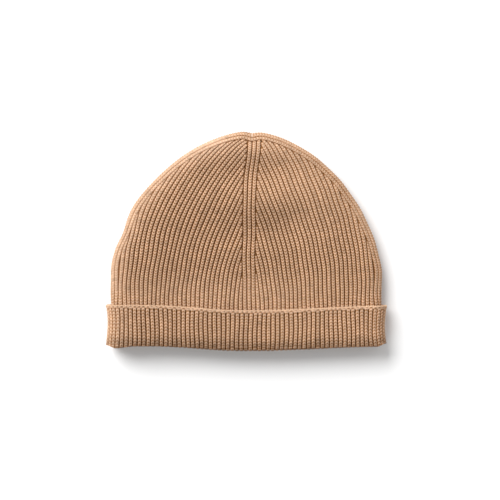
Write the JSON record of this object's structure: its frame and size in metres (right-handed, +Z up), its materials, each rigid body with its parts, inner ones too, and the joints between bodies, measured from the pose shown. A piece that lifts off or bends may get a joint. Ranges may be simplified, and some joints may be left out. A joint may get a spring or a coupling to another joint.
{
  "type": "knit hat",
  "caption": "Ribbed knit hat with a turned-up cuff, laid flat; its crown is shaped by lines of fashioning ribs.",
  "frame": {"origin": "centre of the footprint, on the surface that the hat lies on", "axes": "+X across the hat to the wearer's left as seen from the front, +Y from the cuff's fold to the crown's tip, +Z up out of the surface, front of the hat up"},
  "size_m": [0.2248, 0.176, 0.022],
  "materials": {
    "rib_knit": "matte wool rib knit, camel",
    "edge_yarn": "matte wool yarn, camel, at the cast-on edge",
    "linking_yarn": "matte wool yarn, camel",
    "label_tape": "smooth woven tape, off-white, blank"
  },
  "bodies": {
    "hat": {"front_left_quarter": "rib_knit", "front_right_quarter": "rib_knit", "back_left_quarter": "rib_knit", "back_right_quarter": "rib_knit", "front_fashioning_ribs": "rib_knit", "back_fashioning_ribs": "rib_knit", "left_fashioning_ribs": "rib_knit", "right_fashioning_ribs": "rib_knit", "front_fold": "rib_knit", "back_fold": "rib_knit", "back_seam": "linking_yarn", "crown_closing_yarn": "linking_yarn", "care_label": "label_tape"},
    "front_cuff": {"front_turn_up": "rib_knit", "front_cast_on_edge": "edge_yarn"},
    "back_cuff": {"back_turn_up": "rib_knit", "back_cast_on_edge": "edge_yarn"}
  },
  "joints": [
    {"name": "front_cuff_turn", "type": "hinge", "parent": "hat", "child": "front_cuff", "pos_m": [0, -0.0848, 0.0188], "axis": [1, 0, 0], "range_deg": [0, 178], "deforming": ["front_fold"]},
    {"name": "back_cuff_turn", "type": "hinge", "parent": "hat", "child": "back_cuff", "pos_m": [0, -0.0848, 0.0032], "axis": [-1, 0, 0], "range_deg": [0, 178], "deforming": ["back_fold"]}
  ],
  "couplings": [
    {"joint": "back_cuff_turn", "follows": "front_cuff_turn", "ratio": 1}
  ]
}
